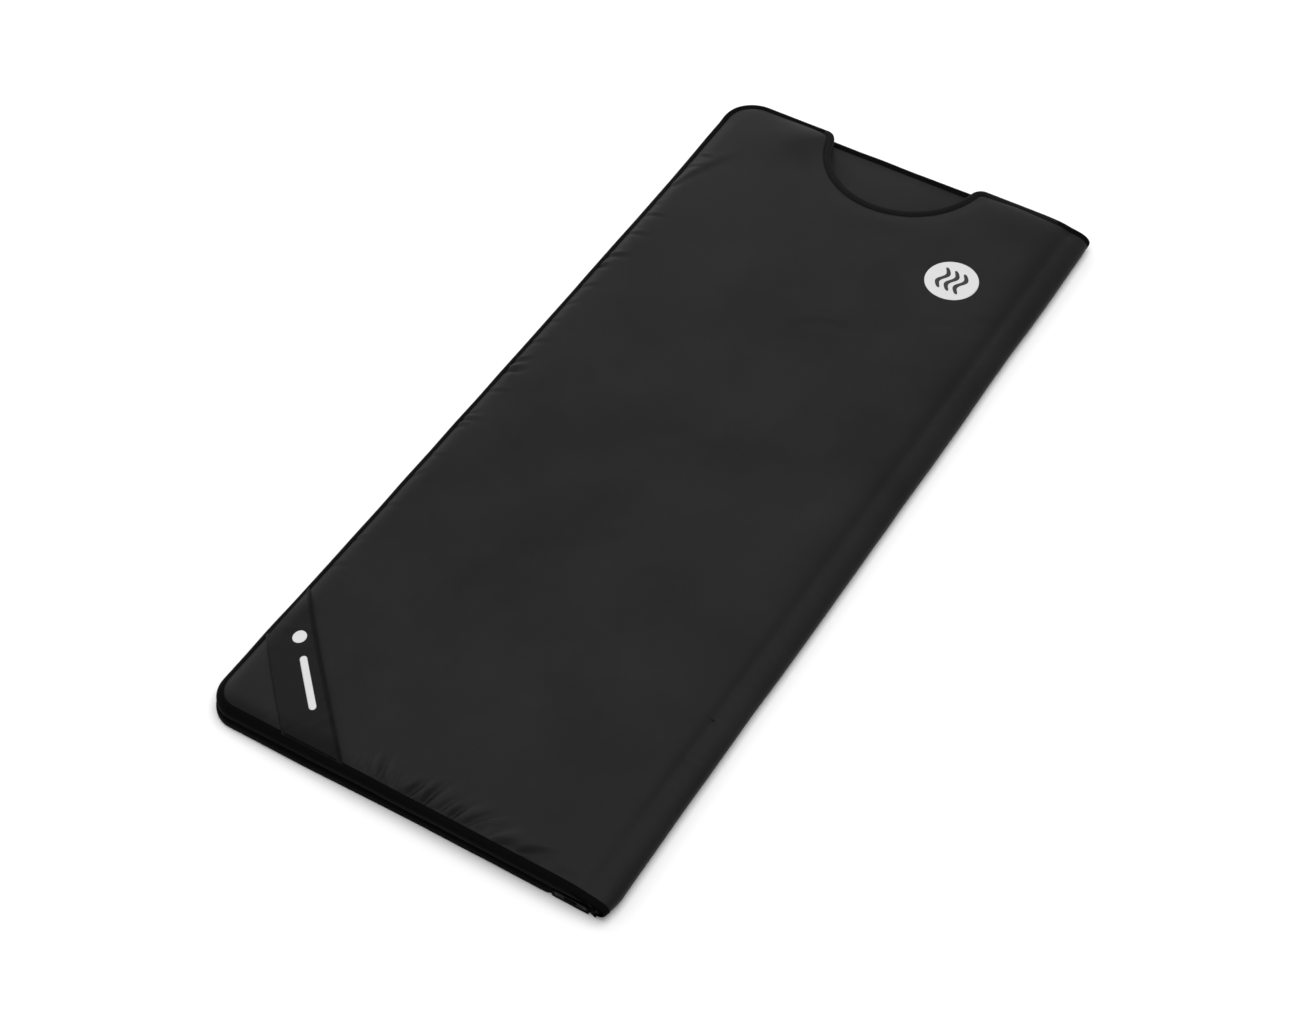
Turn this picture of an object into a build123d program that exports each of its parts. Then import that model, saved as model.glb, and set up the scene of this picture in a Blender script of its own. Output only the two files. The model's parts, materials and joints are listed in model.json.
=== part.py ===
from build123d import *
import os
from math import sqrt

# Infrared sauna blanket, closed and lying flat. Millimetres.
# X runs from the open long edge to the folded one, Y from the foot to the head, Z up from the
# surface it lies on, and the origin is under the middle of the underside.
# The lower half (base) and the upper half (cover) are the same stack of layers, mirrored in the
# plane halfway up. The fold between them turns about an axis in that plane, along Y.

# Overall size
blanket_length = 1800.0
blanket_width = 800.0
foot_corner_radius = 55.0
head_corner_radius = 70.0
smallest_fillet = 1.0

# The layers of one half, from its outer face to its inner face
cloth_thickness = 1.0
wadding_thickness = 9.0
foil_thickness = 0.5
carrier_thickness = 1.5
felt_thickness = 8.0
lining_thickness = 1.0
heated_margin = 30.0

# Tape sewn round the open edges
binding_width = 12.0
binding_wall = 1.0

# Hook tape on the base and loop tape on the cover, along the open side and the foot
closure_width = 30.0
closure_thickness = 3.0
closure_margin = 4.0
closure_gap = 6.0

# Neckline, a scoop out of the cover's head edge
neck_radius = 161.0
neck_centre_x = -11.0
neck_centre_beyond_edge = 14.0
neck_flare_radius = 28.0
neck_binding_margin = 10.0

# Heating wire, one length in each half, laid in lengthwise runs
wire_diameter = 3.0
wire_clearance = 0.2
heater_runs = 10
heater_side_margin = 60.0
heater_fold_margin = 96.0
heater_foot_margin = 120.0
heater_head_margin = 95.0
heater_neck_margin = 45.0
heater_corner_radius = 20.0

# Junction block in each half, where the heating wire and the leads meet
junction_from_fold = 46.0
junction_from_foot = 72.0
junction_length = 44.0
junction_width = 36.0
junction_height = 6.5
return_wire_offset = 14.0
lead_offset = 8.0
pocket_clearance = 0.3

# Temperature sensor and thermal cut-out beside each junction block
sensor_length = 20.0
sensor_width = 10.0
sensor_height = 4.5
cutout_length = 24.0
cutout_width = 12.0
cutout_height = 5.5
sensor_lead_length = 40.0

# Controller inlet in the foot edge of the base
inlet_width = 44.0
inlet_depth = 28.0
inlet_height = 12.0
flange_width = 62.0
flange_height = 15.0
port_width = 24.0
port_height = 7.5
port_depth = 16.0
port_corner_radius = 2.0
contact_count = 4
contact_pitch = 5.0
contact_diameter = 1.6
contact_length = 8.0
backing_margin = 1.0
backing_thickness = 1.5
rivet_spacing = 53.0
rivet_diameter = 3.0
rivet_head_diameter = 5.0
rivet_head_height = 1.0

# Corner band, badges and bar on the cover
band_width = 88.0
band_from_corner = 120.0
band_thickness = 1.5
print_thickness = 0.5
print_offset = 14.0
corner_badge_diameter = 26.0
corner_badge_along = 78.0
corner_bar_length = 116.0
corner_bar_width = 13.0
corner_bar_along = -23.0
chest_badge_diameter = 105.0
chest_badge_from_side = 175.0
chest_badge_from_head = 263.0
chest_badge_thickness = 1.2

# Heights above the outer face of a half
wadding_top = cloth_thickness + wadding_thickness
foil_top = wadding_top + foil_thickness
carrier_top = foil_top + carrier_thickness
felt_top = carrier_top + felt_thickness
half_thickness = felt_top + lining_thickness
closure_top = half_thickness + closure_thickness
wire_height = carrier_top + wire_diameter / 2

# The whole stack, and the fold about its middle
total_thickness = 2 * closure_top
mid_height = closure_top
fold_x = blanket_width / 2 - mid_height
fold_inner_radius = mid_height - half_thickness
left_edge = -blanket_width / 2
foot_edge = -blanket_length / 2
head_edge = blanket_length / 2
junction_x = fold_x - junction_from_fold
junction_y = foot_edge + junction_from_foot
neck_bottom = head_edge + neck_centre_beyond_edge - neck_radius


def mirrored(solid):
    """The cover's copy of something made as it lies in the base."""
    return mirror(solid, about=Plane.XY.offset(mid_height))


def layer(outline, bottom, top):
    return Pos(0, 0, bottom) * extrude(outline, top - bottom)


def block(size, centre_x, centre_y, bottom):
    """A box standing at a height, centred in plan."""
    width, length, height = size
    return Pos(centre_x, centre_y, bottom + height / 2) * Box(width, length, height)


def round_corner(face, x, y, radius, inset):
    """Rounds one corner of an outline that is drawn in from where the radius is stated."""
    corner = face.vertices().sort_by_distance(Vector(x, y, 0))[0]
    return fillet(corner, max(radius - inset, smallest_fillet))


def base_outline(inset):
    """The base in plan: straight at the fold, drawn in from its three bound edges."""
    left = left_edge + inset
    foot = foot_edge + inset
    head = head_edge - inset
    corners = [(left, foot), (fold_x, foot), (fold_x, head), (left, head)]
    face = make_face(Polyline(corners, close=True))
    face = round_corner(face, left, foot, foot_corner_radius, inset)
    return round_corner(face, left, head, head_corner_radius, inset)


def cover_outline(inset):
    """The cover in plan: the base's shape less a scooped neckline with flared ends."""
    radius = neck_radius + inset
    head = head_edge - inset
    scoop = Pos(neck_centre_x, head_edge + neck_centre_beyond_edge) * Circle(radius)
    face = (base_outline(inset) - scoop).face()
    rise = neck_centre_beyond_edge + inset
    half_opening = sqrt(radius**2 - rise**2)
    for side in (-1, 1):
        corner_x = neck_centre_x + side * half_opening
        face = round_corner(face, corner_x, head, neck_flare_radius, inset)
    return face


def heated_outline(outline):
    """Where the foil and the heater carrier lie: short of every edge and of the fold."""
    short_of_fold = Pos(-heated_margin, 0) * Rectangle(2 * fold_x, 2 * blanket_length)
    return outline(heated_margin) & short_of_fold


def edge_binding(outline):
    """Tape round the bound edges: a wall, and a lip flush with the cloth on each face."""
    lip = outline(0) - outline(binding_width)
    wall = layer(outline(0) - outline(binding_wall), 0, half_thickness)
    outer_lip = layer(lip, 0, cloth_thickness)
    inner_lip = layer(lip, felt_top, half_thickness)
    return wall + outer_lip + inner_lip


def half_ring(inner, outer, foot, head):
    """A half tube about the fold's axis, on its far side from the two halves."""
    ring = Circle(outer) - Circle(inner)
    ring = ring & (Pos(outer, 0) * Rectangle(2 * outer, 2 * outer))
    plane = Plane(origin=(fold_x, foot, mid_height), x_dir=(1, 0, 0), z_dir=(0, 1, 0))
    return extrude(plane * ring, head - foot)


def fold_binding(edge, inward):
    """The binding where it passes round one end of the fold; inward is +1 or -1 along Y."""
    wall_end = edge + inward * binding_wall
    lip_end = edge + inward * binding_width
    wall = half_ring(fold_inner_radius, mid_height, *sorted((edge, wall_end)))
    outer_radius = mid_height - cloth_thickness
    inner_radius = fold_inner_radius + lining_thickness
    outer_lip = half_ring(outer_radius, mid_height, *sorted((edge, lip_end)))
    inner_lip = half_ring(fold_inner_radius, inner_radius, *sorted((edge, lip_end)))
    return wall + outer_lip + inner_lip


# Heating wire and leads

def heater_path(head_turn_y):
    """From the junction along the foot, then up and down in runs, and back to the junction."""
    first_x = left_edge + heater_side_margin
    pitch = (blanket_width - heater_side_margin - heater_fold_margin - mid_height) / heater_runs
    foot_turn_y = foot_edge + heater_foot_margin
    junction_face = junction_x - junction_width / 2
    return_y = junction_y - return_wire_offset
    exit_y = junction_y + return_wire_offset
    corner = heater_corner_radius
    edges = [Line((junction_face, return_y), (first_x + corner, return_y))]
    edges.append(JernArc((first_x + corner, return_y), (-1, 0), corner, -90))
    start_y = return_y + corner
    for run in range(heater_runs):
        x = first_x + run * pitch
        if run % 2 == 0:
            edges.append(Line((x, start_y), (x, head_turn_y)))
            edges.append(JernArc((x, head_turn_y), (0, 1), pitch / 2, -180))
            start_y = head_turn_y
        elif run < heater_runs - 1:
            edges.append(Line((x, start_y), (x, foot_turn_y)))
            edges.append(JernArc((x, foot_turn_y), (0, -1), pitch / 2, 180))
            start_y = foot_turn_y
    last_x = first_x + (heater_runs - 1) * pitch
    edges.append(Line((last_x, start_y), (last_x, exit_y + corner)))
    edges.append(JernArc((last_x, exit_y + corner), (0, -1), corner, 90))
    edges.append(Line((last_x + corner, exit_y), (junction_face, exit_y)))
    return Pos(0, 0, wire_height) * Wire(edges)


def section_plane(path):
    return Plane(origin=path @ 0, x_dir=(0, 0, 1), z_dir=path % 0)


def wire_along(path):
    return sweep(section_plane(path) * Circle(wire_diameter / 2), path=path)


def channel_along(path):
    """The groove pressed in the felt over a wire, open towards the carrier."""
    width = wire_diameter + 2 * wire_clearance
    height = wire_diameter + wire_clearance
    section = Pos(wire_clearance / 2, 0) * Rectangle(height, width)
    return sweep(section_plane(path) * section, path=path)


def lead_paths(with_inlet):
    """Straight leads of one half: to the fold, to the sensors and, in the base, to the inlet."""
    fold_face = junction_x + junction_width / 2
    head_face = junction_y + junction_length / 2
    foot_face = junction_y - junction_length / 2
    paths = []
    for side in (-1, 1):
        y = junction_y + side * lead_offset
        x = junction_x + side * lead_offset
        paths.append(Line((fold_face, y), (fold_x, y)))
        paths.append(Line((x, head_face), (x, head_face + sensor_lead_length)))
        if with_inlet:
            paths.append(Line((x, foot_edge + inlet_depth), (x, foot_face)))
    return [Pos(0, 0, wire_height) * Wire([path]) for path in paths]


def fold_leads():
    """The two leads where they bend round the fold, concentric with it."""
    fold_axis = Axis((fold_x, 0, mid_height), (0, -1, 0))
    leads = []
    for side in (-1, 1):
        start = (fold_x, junction_y + side * lead_offset, wire_height)
        section = Plane(origin=start, z_dir=(1, 0, 0)) * Circle(wire_diameter / 2)
        leads.append(revolve(section, fold_axis, 180))
    return leads


def junction_block(grow=0.0):
    size = (junction_width + 2 * grow, junction_length + 2 * grow, junction_height + grow)
    return block(size, junction_x, junction_y, carrier_top)


def temperature_sensor(grow=0.0):
    centre_y = junction_y + junction_length / 2 + sensor_lead_length + sensor_length / 2
    size = (sensor_width + 2 * grow, sensor_length + 2 * grow, sensor_height + grow)
    return block(size, junction_x - lead_offset, centre_y, carrier_top)


def thermal_cutout(grow=0.0):
    centre_y = junction_y + junction_length / 2 + sensor_lead_length + cutout_length / 2
    size = (cutout_width + 2 * grow, cutout_length + 2 * grow, cutout_height + grow)
    return block(size, junction_x + lead_offset, centre_y, carrier_top)


def heated_half(outline, head_turn_y, with_inlet, inlet_pocket=None):
    """Every layer and inner piece of one half, by name, as it lies in the base."""
    heater = heater_path(head_turn_y)
    leads = lead_paths(with_inlet)
    face = outline(binding_width)
    filling = outline(binding_wall)
    heated = heated_outline(outline)
    turned_down = layer(filling - heated, wadding_top, carrier_top)
    felt = layer(filling, carrier_top, felt_top) + turned_down
    for path in [heater, *leads]:
        felt -= channel_along(path)
    for pocket in (junction_block, temperature_sensor, thermal_cutout):
        felt -= pocket(pocket_clearance)
    pieces = {
        "outer_cloth": layer(face, 0, cloth_thickness),
        "wadding": layer(filling, cloth_thickness, wadding_top),
        "foil_reflector": layer(heated, wadding_top, foil_top),
        "heater_carrier": layer(heated, foil_top, carrier_top),
        "felt": felt,
        "lining": layer(face, felt_top, half_thickness),
        "heating_wire": wire_along(heater),
        "leads": Compound(children=[wire_along(path) for path in leads]),
        "junction_block": junction_block(),
        "temperature_sensor": temperature_sensor(),
        "thermal_cutout": thermal_cutout(),
    }
    if inlet_pocket is not None:
        for name in ("wadding", "felt"):
            pieces[name] -= inlet_pocket
    return pieces


# Closure tapes

def side_tape():
    """Tape along the open long edge, from the foot to the head."""
    x = left_edge + binding_width + closure_margin + closure_width / 2
    foot = foot_edge + foot_corner_radius
    head = head_edge - head_corner_radius
    size = (closure_width, head - foot, closure_thickness)
    return block(size, x, (foot + head) / 2, half_thickness)


def foot_tape():
    """Tape along the foot, from beside the side tape to short of the fold."""
    left = left_edge + binding_width + closure_margin + closure_width + closure_gap
    right = fold_x - binding_width
    y = foot_edge + binding_width + closure_margin + closure_width / 2
    size = (right - left, closure_width, closure_thickness)
    return block(size, (left + right) / 2, y, half_thickness)


# Controller inlet

inlet_centre_height = half_thickness / 2


def along_depth(shape, start, length, x=junction_x):
    """A section in plan-and-height, pushed from the foot edge into the blanket."""
    origin = (x, foot_edge + start, inlet_centre_height)
    return extrude(Plane(origin=origin, x_dir=(1, 0, 0), z_dir=(0, -1, 0)) * shape, -length)


def inlet_flange():
    return along_depth(Rectangle(flange_width, flange_height), 0, binding_wall)


def rivet_centres():
    return [junction_x - rivet_spacing / 2, junction_x + rivet_spacing / 2]


def inlet_housing():
    """Moulded socket with a flange that lies flush in the binding's wall."""
    body = along_depth(Rectangle(inlet_width, inlet_height), 0, inlet_depth)
    port = along_depth(RectangleRounded(port_width, port_height, port_corner_radius), 0, port_depth)
    housing = body + inlet_flange() - port
    for rivet in rivets():
        housing -= rivet
    return housing


def contacts():
    """Pins standing from the back wall of the port."""
    first_x = junction_x - contact_pitch * (contact_count - 1) / 2
    pins = []
    for number in range(contact_count):
        x = first_x + number * contact_pitch
        start = port_depth - contact_length
        pins.append(along_depth(Circle(contact_diameter / 2), start, contact_length, x))
    return pins


def backing_plate():
    """Plate inside the binding that the flange is riveted to."""
    width = flange_width + 2 * backing_margin
    height = flange_height + 2 * backing_margin
    plate = along_depth(Rectangle(width, height), binding_wall, backing_thickness)
    plate -= along_depth(Rectangle(inlet_width, inlet_height), 0, inlet_depth)
    for rivet in rivets():
        plate -= rivet
    return plate


def rivets():
    """Flush rivets: a countersunk head in the flange, a shank and a set head behind the plate."""
    joint_depth = binding_wall + backing_thickness
    made = []
    for x in rivet_centres():
        origin = (x, foot_edge, inlet_centre_height)
        head_plane = Plane(origin=origin, x_dir=(1, 0, 0), z_dir=(0, 1, 0))
        wide = head_plane * Circle(rivet_head_diameter / 2)
        narrow = head_plane.offset(binding_wall) * Circle(rivet_diameter / 2)
        head = loft([wide, narrow])
        shank = along_depth(Circle(rivet_diameter / 2), binding_wall, backing_thickness, x)
        tail = along_depth(Circle(rivet_head_diameter / 2), joint_depth, rivet_head_height, x)
        made.append(head + shank + tail)
    return made


def inlet_pocket():
    """Room left in the layers for the inlet, its plate and its rivets."""
    width = flange_width + 2 * backing_margin + 2 * pocket_clearance
    height = flange_height + 2 * backing_margin + 2 * pocket_clearance
    return along_depth(Rectangle(width, height), binding_wall, inlet_depth - binding_wall)


# Trim on the cover

def band_frame(across, along):
    """A point on the corner band: across from its middle line inwards, along it to the side edge."""
    reach = (band_from_corner + band_width / 2 + across) / sqrt(2)
    slide = along / sqrt(2)
    return Pos(left_edge + reach - slide, foot_edge + reach + slide) * Rot(0, 0, -45)


def corner_band():
    strip = band_frame(0, 0) * Rectangle(blanket_width, band_width)
    return layer(base_outline(binding_width) & strip, total_thickness, total_thickness + band_thickness)


def printed(shape):
    bottom = total_thickness + band_thickness
    return layer(shape, bottom, bottom + print_thickness)


def corner_badge():
    return printed(band_frame(print_offset, corner_badge_along) * Circle(corner_badge_diameter / 2))


def corner_bar():
    bar = SlotOverall(corner_bar_length, corner_bar_width)
    return printed(band_frame(print_offset, corner_bar_along) * bar)


def chest_badge():
    x = blanket_width / 2 - chest_badge_from_side
    disc = Pos(x, head_edge - chest_badge_from_head) * Circle(chest_badge_diameter / 2)
    return layer(disc, total_thickness, total_thickness + chest_badge_thickness)


# The whole blanket

def base_pieces():
    pieces = heated_half(base_outline, head_edge - heater_head_margin, True, inlet_pocket())
    pieces["edge_binding"] = edge_binding(base_outline) - inlet_flange()
    pieces["hook_tape_side"] = side_tape()
    pieces["hook_tape_foot"] = foot_tape()
    return {"base_" + name: piece for name, piece in pieces.items()}


def inlet_pieces():
    return {
        "inlet_housing": inlet_housing(),
        "inlet_contacts": Compound(children=contacts()),
        "inlet_backing_plate": backing_plate(),
        "inlet_rivets": Compound(children=rivets()),
    }


def cover_pieces():
    pieces = heated_half(cover_outline, neck_bottom - heater_neck_margin, False)
    binding = edge_binding(cover_outline)
    neck_left = neck_centre_x - neck_radius - neck_flare_radius - neck_binding_margin
    neck_foot = neck_bottom - 2 * binding_width
    corner = (fold_x - neck_left, head_edge - neck_foot, 2 * total_thickness)
    neck_zone = block(corner, (fold_x + neck_left) / 2, (head_edge + neck_foot) / 2, -total_thickness / 2)
    pieces["edge_binding"] = binding - neck_zone
    pieces["loop_tape_side"] = side_tape()
    pieces["loop_tape_foot"] = foot_tape()
    named = {"cover_" + name: mirrored(piece) for name, piece in pieces.items()}
    named["neckline_binding"] = mirrored(binding & neck_zone)
    named["corner_band"] = corner_band()
    named["corner_badge"] = corner_badge()
    named["corner_bar"] = corner_bar()
    named["chest_badge"] = chest_badge()
    return named


def fold_pieces():
    cloth_foot = foot_edge + binding_width
    cloth_head = head_edge - binding_width
    inner_face = fold_inner_radius + lining_thickness
    outer_face = mid_height - cloth_thickness
    wadding = half_ring(inner_face, outer_face, foot_edge + binding_wall, head_edge - binding_wall)
    leads = fold_leads()
    for lead in leads:
        wadding -= lead
    return {
        "fold_outer_cloth": half_ring(outer_face, mid_height, cloth_foot, cloth_head),
        "fold_wadding": wadding,
        "fold_lining": half_ring(fold_inner_radius, inner_face, cloth_foot, cloth_head),
        "fold_leads": Compound(children=leads),
        "fold_binding_foot": fold_binding(foot_edge, 1),
        "fold_binding_head": fold_binding(head_edge, -1),
    }


os.makedirs("parts", exist_ok=True)
blanket = {**base_pieces(), **inlet_pieces(), **cover_pieces(), **fold_pieces()}
for name, piece in blanket.items():
    export_step(piece, f"parts/{name}.step")
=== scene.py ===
import json
import math

import bpy
import numpy as np
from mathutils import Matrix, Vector


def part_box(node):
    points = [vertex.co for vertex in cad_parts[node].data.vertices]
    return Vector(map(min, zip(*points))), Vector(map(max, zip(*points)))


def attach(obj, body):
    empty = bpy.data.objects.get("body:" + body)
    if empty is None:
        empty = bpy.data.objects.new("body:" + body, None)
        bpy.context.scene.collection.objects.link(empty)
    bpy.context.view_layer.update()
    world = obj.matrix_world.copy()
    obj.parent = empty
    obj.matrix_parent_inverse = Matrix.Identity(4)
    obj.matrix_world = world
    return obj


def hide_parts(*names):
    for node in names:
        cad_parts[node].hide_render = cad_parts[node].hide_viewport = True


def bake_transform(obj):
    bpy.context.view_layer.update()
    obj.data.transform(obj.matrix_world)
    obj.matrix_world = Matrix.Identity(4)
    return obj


# The looks of a quilted infrared sauna blanket, closed and lying flat, in metres.
# X runs from the open long edge to the folded one, Y from the foot to the head, Z up.
# A point of a half is given by u, its place across the flat cloth, v, its place along it, and a
# share of the thickness, from 0 on the lining to 1 on the outer cloth.

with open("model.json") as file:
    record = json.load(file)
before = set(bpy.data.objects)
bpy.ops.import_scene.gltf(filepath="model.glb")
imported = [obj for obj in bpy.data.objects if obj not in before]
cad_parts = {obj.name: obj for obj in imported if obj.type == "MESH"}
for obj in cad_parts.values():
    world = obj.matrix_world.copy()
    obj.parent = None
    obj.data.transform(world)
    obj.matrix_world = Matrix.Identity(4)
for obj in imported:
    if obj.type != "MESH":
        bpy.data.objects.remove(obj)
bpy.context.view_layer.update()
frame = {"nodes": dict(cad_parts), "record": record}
SEED = 7
MM = 0.001

# Places taken from the frame
half_lo, half_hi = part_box("base_edge_binding")
inlet_lo, inlet_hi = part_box("inlet_backing_plate")
LEFT, FOOT, HEAD, FOLD_X = half_lo.x, half_lo.y, half_hi.y, half_hi.x
BASE_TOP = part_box("base_lining")[1].z
COVER_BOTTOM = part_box("cover_lining")[0].z

# Outline of the halves, and the neckline's scoop
FOOT_RADIUS = 55 * MM
HEAD_RADIUS = 70 * MM
NECK_X = -11 * MM
NECK_RADIUS = 161 * MM
NECK_Y = 914 * MM
FLARE_RADIUS = 28 * MM

TAPE_WIDTH = 12 * MM
GRID = 5 * MM
BASE_GRID = 10 * MM
SIM_FRAMES = 24
SIM_REACH = 6 * MM        # about the furthest that the simulation may move the cloth


# --- Small helpers ---------------------------------------------------------------------------

def smoothstep(x):
    x = np.clip(x, 0, 1)
    return x * x * (3 - 2 * x)


def bell(x):
    return np.exp(-x * x)


def nearness(distance, reach):
    """Falls from 1 at no distance to 0 at the reach."""
    return np.clip(1 - distance / reach, 0, 1) ** 2


def unit(vectors):
    return vectors / np.linalg.norm(vectors, axis=-1, keepdims=True)


def lengths_along(points):
    """How far along their line each of the points lies."""
    return np.r_[0, np.cumsum(np.linalg.norm(np.diff(points, axis=0), axis=1))]


def rows_along(step):
    """Places along the blanket, about a step apart."""
    return np.linspace(FOOT, HEAD, round((HEAD - FOOT) / step) + 1)


def noise(x, y, size, seed):
    """Smooth noise from -1 to 1 with features of about the given size."""
    rng = np.random.default_rng(seed)
    table = rng.uniform(-1, 1, (64, 64))
    gx, gy = np.asarray(x) / size + 100, np.asarray(y) / size + 100
    ix, iy = np.floor(gx).astype(int), np.floor(gy).astype(int)
    fx, fy = smoothstep(gx - ix), smoothstep(gy - iy)
    a, b = table[ix % 64, iy % 64], table[(ix + 1) % 64, iy % 64]
    c, d = table[ix % 64, (iy + 1) % 64], table[(ix + 1) % 64, (iy + 1) % 64]
    return (a * (1 - fx) + b * fx) * (1 - fy) + (c * (1 - fx) + d * fx) * fy


def curve_at(knots, values, t):
    """A smooth curve through the values at the knots."""
    slopes = np.gradient(values, knots, axis=0)
    i = np.clip(np.searchsorted(knots, t, side="right") - 1, 0, len(knots) - 2)
    span = (knots[i + 1] - knots[i])[..., None]
    s = (t - knots[i])[..., None] / span
    start = (2 * s**3 - 3 * s**2 + 1) * values[i] + (s**3 - 2 * s**2 + s) * span * slopes[i]
    end = (3 * s**2 - 2 * s**3) * values[i + 1] + (s**3 - s**2) * span * slopes[i + 1]
    return start + end


def in_scene(name, data):
    made = bpy.data.objects.new(name, data)
    bpy.context.scene.collection.objects.link(made)
    return made


def new_object(name, verts, faces, materials=(), smooth=True, face_slots=None):
    mesh = bpy.data.meshes.new(name)
    mesh.from_pydata(np.asarray(verts).tolist(), [], [list(map(int, f)) for f in faces])
    for material in materials:
        mesh.materials.append(material)
    mesh.polygons.foreach_set("use_smooth", [smooth] * len(mesh.polygons))
    if face_slots is not None:
        mesh.polygons.foreach_set("material_index", list(face_slots))
    mesh.update()
    return in_scene(name, mesh)


class Pieces:
    """Gathers the parts of one mesh, each with its material's number."""

    def __init__(self):
        self.verts, self.faces, self.slots, self.count = [], [], [], 0

    def add(self, verts, faces, slot=0):
        self.verts.append(np.asarray(verts).reshape(-1, 3))
        self.faces += [[int(i) + self.count for i in f] for f in faces]
        self.slots += list(slot) if np.ndim(slot) else [slot] * len(faces)
        self.count += len(self.verts[-1])

    def object(self, name, materials):
        return new_object(name, np.concatenate(self.verts), self.faces, materials, True, self.slots)


def tube_faces(rings, around, closed_ends=True):
    faces = []
    for i in range(rings - 1):
        for j in range(around):
            k = (j + 1) % around
            faces.append((i * around + j, (i + 1) * around + j, (i + 1) * around + k, i * around + k))
    if closed_ends:
        faces.append(list(range(around)))
        faces.append([(rings - 1) * around + j for j in range(around)][::-1])
    return faces


# --- Camera, light and floor -----------------------------------------------------------------

def aim(piece, direction):
    piece.rotation_mode = "QUATERNION"
    piece.rotation_quaternion = direction.to_track_quat("-Z", "Y")


def make_camera():
    data = bpy.data.cameras.new("camera")
    data.sensor_width = 36
    data.lens = 68.7
    camera = in_scene("camera", data)
    camera.location = (1.526, -2.628, 3.376)
    yaw, pitch = math.radians(-31.25), math.radians(49.10)
    look = Vector((math.sin(yaw) * math.cos(pitch), math.cos(yaw) * math.cos(pitch), -math.sin(pitch)))
    aim(camera, look)
    bpy.context.scene.camera = camera


def area_light(name, location, target, size, power):
    data = bpy.data.lights.new(name, "AREA")
    data.shape = "RECTANGLE"
    data.size, data.size_y = size
    data.energy = power
    light = in_scene(name, data)
    light.location = location
    aim(light, Vector(target) - Vector(location))


def make_studio():
    world = bpy.data.worlds.new("studio")
    bpy.context.scene.world = world
    world.use_nodes = True
    background = world.node_tree.nodes["Background"]
    background.inputs["Color"].default_value = (1, 1, 1, 1)
    background.inputs["Strength"].default_value = 0.62
    area_light("back_strip", (-2.4, 3.6, 1.2), (-0.1, 0.3, 0), (3.6, 1.0), 34)
    area_light("left_box", (-3.0, 0.2, 1.9), (0, 0, 0), (1.4, 2.6), 24)
    area_light("overhead", (0.4, 0.0, 3.8), (0, 0, 0), (3.4, 3.4), 90)
    bpy.context.scene.view_settings.view_transform = "Standard"
    size = 12.0
    verts = [(-size, -size, 0), (size, -size, 0), (size, size, 0), (-size, size, 0)]
    floor = new_object("floor", verts, [(0, 1, 2, 3)], [floor_material()], smooth=False)
    floor.location.z = -0.5 * MM


# --- Materials -------------------------------------------------------------------------------

class Look:
    """A material in the making: its shader, and short ways to add the nodes that feed it."""

    def __init__(self, name):
        self.material = bpy.data.materials.new(name)
        self.material.use_nodes = True
        tree = self.material.node_tree
        self.nodes, self.links, self.shader = tree.nodes, tree.links, tree.nodes["Principled BSDF"]
        self.coords = self.nodes.new("ShaderNodeTexCoord").outputs["Object"]

    def feed(self, node, inputs):
        """Sets a node's inputs to values, or links them to other nodes' outputs."""
        for key, value in inputs.items():
            if isinstance(value, bpy.types.NodeSocket):
                self.links.new(value, node.inputs[key])
            else:
                node.inputs[key].default_value = value
        return node

    def add(self, kind, inputs):
        return self.feed(self.nodes.new("ShaderNode" + kind), inputs)

    def noise(self, scale, detail=3.0):
        inputs = {"Vector": self.coords, "Scale": scale, "Detail": detail, "Roughness": 0.55}
        return self.add("TexNoise", inputs).outputs["Fac"]

    def ribs(self, axis, pitch):
        inputs = {"Vector": self.coords, "Scale": math.pi / 10 / pitch, "Distortion": 0.6, "Detail": 1.0}
        wave = self.add("TexWave", inputs)
        wave.wave_type = "BANDS"
        wave.bands_direction = axis
        return wave.outputs["Fac"]

    def combine(self, operation, a, b):
        node = self.add("Math", {0: a, 1: b})
        node.operation = operation
        return node.outputs[0]

    def contrast(self, value, gain):
        inputs = {"Value": value, "From Min": 0.5 - 0.5 / gain, "From Max": 0.5 + 0.5 / gain}
        return self.add("MapRange", inputs).outputs["Result"]

    def bump(self, height, distance, strength, below=None):
        inputs = {"Height": height, "Distance": distance, "Strength": strength}
        if below is not None:
            inputs["Normal"] = below
        return self.add("Bump", inputs).outputs["Normal"]

    def colour(self, factor, dark, light):
        node = self.nodes.new("ShaderNodeMix")
        node.data_type = "RGBA"
        ends = [s for s in node.inputs if s.type == "RGBA"]
        ends[0].default_value = (*dark, 1)
        ends[1].default_value = (*light, 1)
        self.links.new(factor, node.inputs[0])
        return [s for s in node.outputs if s.type == "RGBA"][0]

    def rough(self, value, spread, least):
        """Roughness that rises with a value, from least on."""
        return self.combine("ADD", self.combine("MULTIPLY", value, spread), least)

    def dress(self, colour, rough, normal, others):
        """Feeds the shader, and gives the finished material."""
        self.feed(self.shader, {"Base Color": colour, "Roughness": rough, "Normal": normal, **others})
        return self.material


def floor_material():
    look = Look("floor_white")
    white = {"Base Color": (0.95, 0.95, 0.95, 1), "Roughness": 0.9, "Specular IOR Level": 0.1}
    look.feed(look.shader, white)
    return look.material


def woven(name, dark, light, pitch, rough, gloss, sheen, weave_depth, cloud=1.0):
    """Woven cloth: threads, an uneven coating, and slow changes of colour and gloss."""
    look = Look(name)
    slow = look.contrast(look.noise(5.5 * cloud, 5.0), 1.9)
    weave = look.combine("MAXIMUM", look.ribs("X", pitch), look.ribs("Y", pitch))
    colour = look.colour(look.combine("MULTIPLY", weave, slow), dark, light)
    threads = look.bump(weave, weave_depth, 0.4)
    lint = look.bump(look.noise(900.0, 2.0), 0.05 * MM, 0.4, threads)
    return look.dress(colour, look.rough(slow, 0.16, rough - 0.08), lint,
                      {"Specular IOR Level": gloss, "Sheen Weight": sheen, "Sheen Roughness": 0.5})


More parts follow.
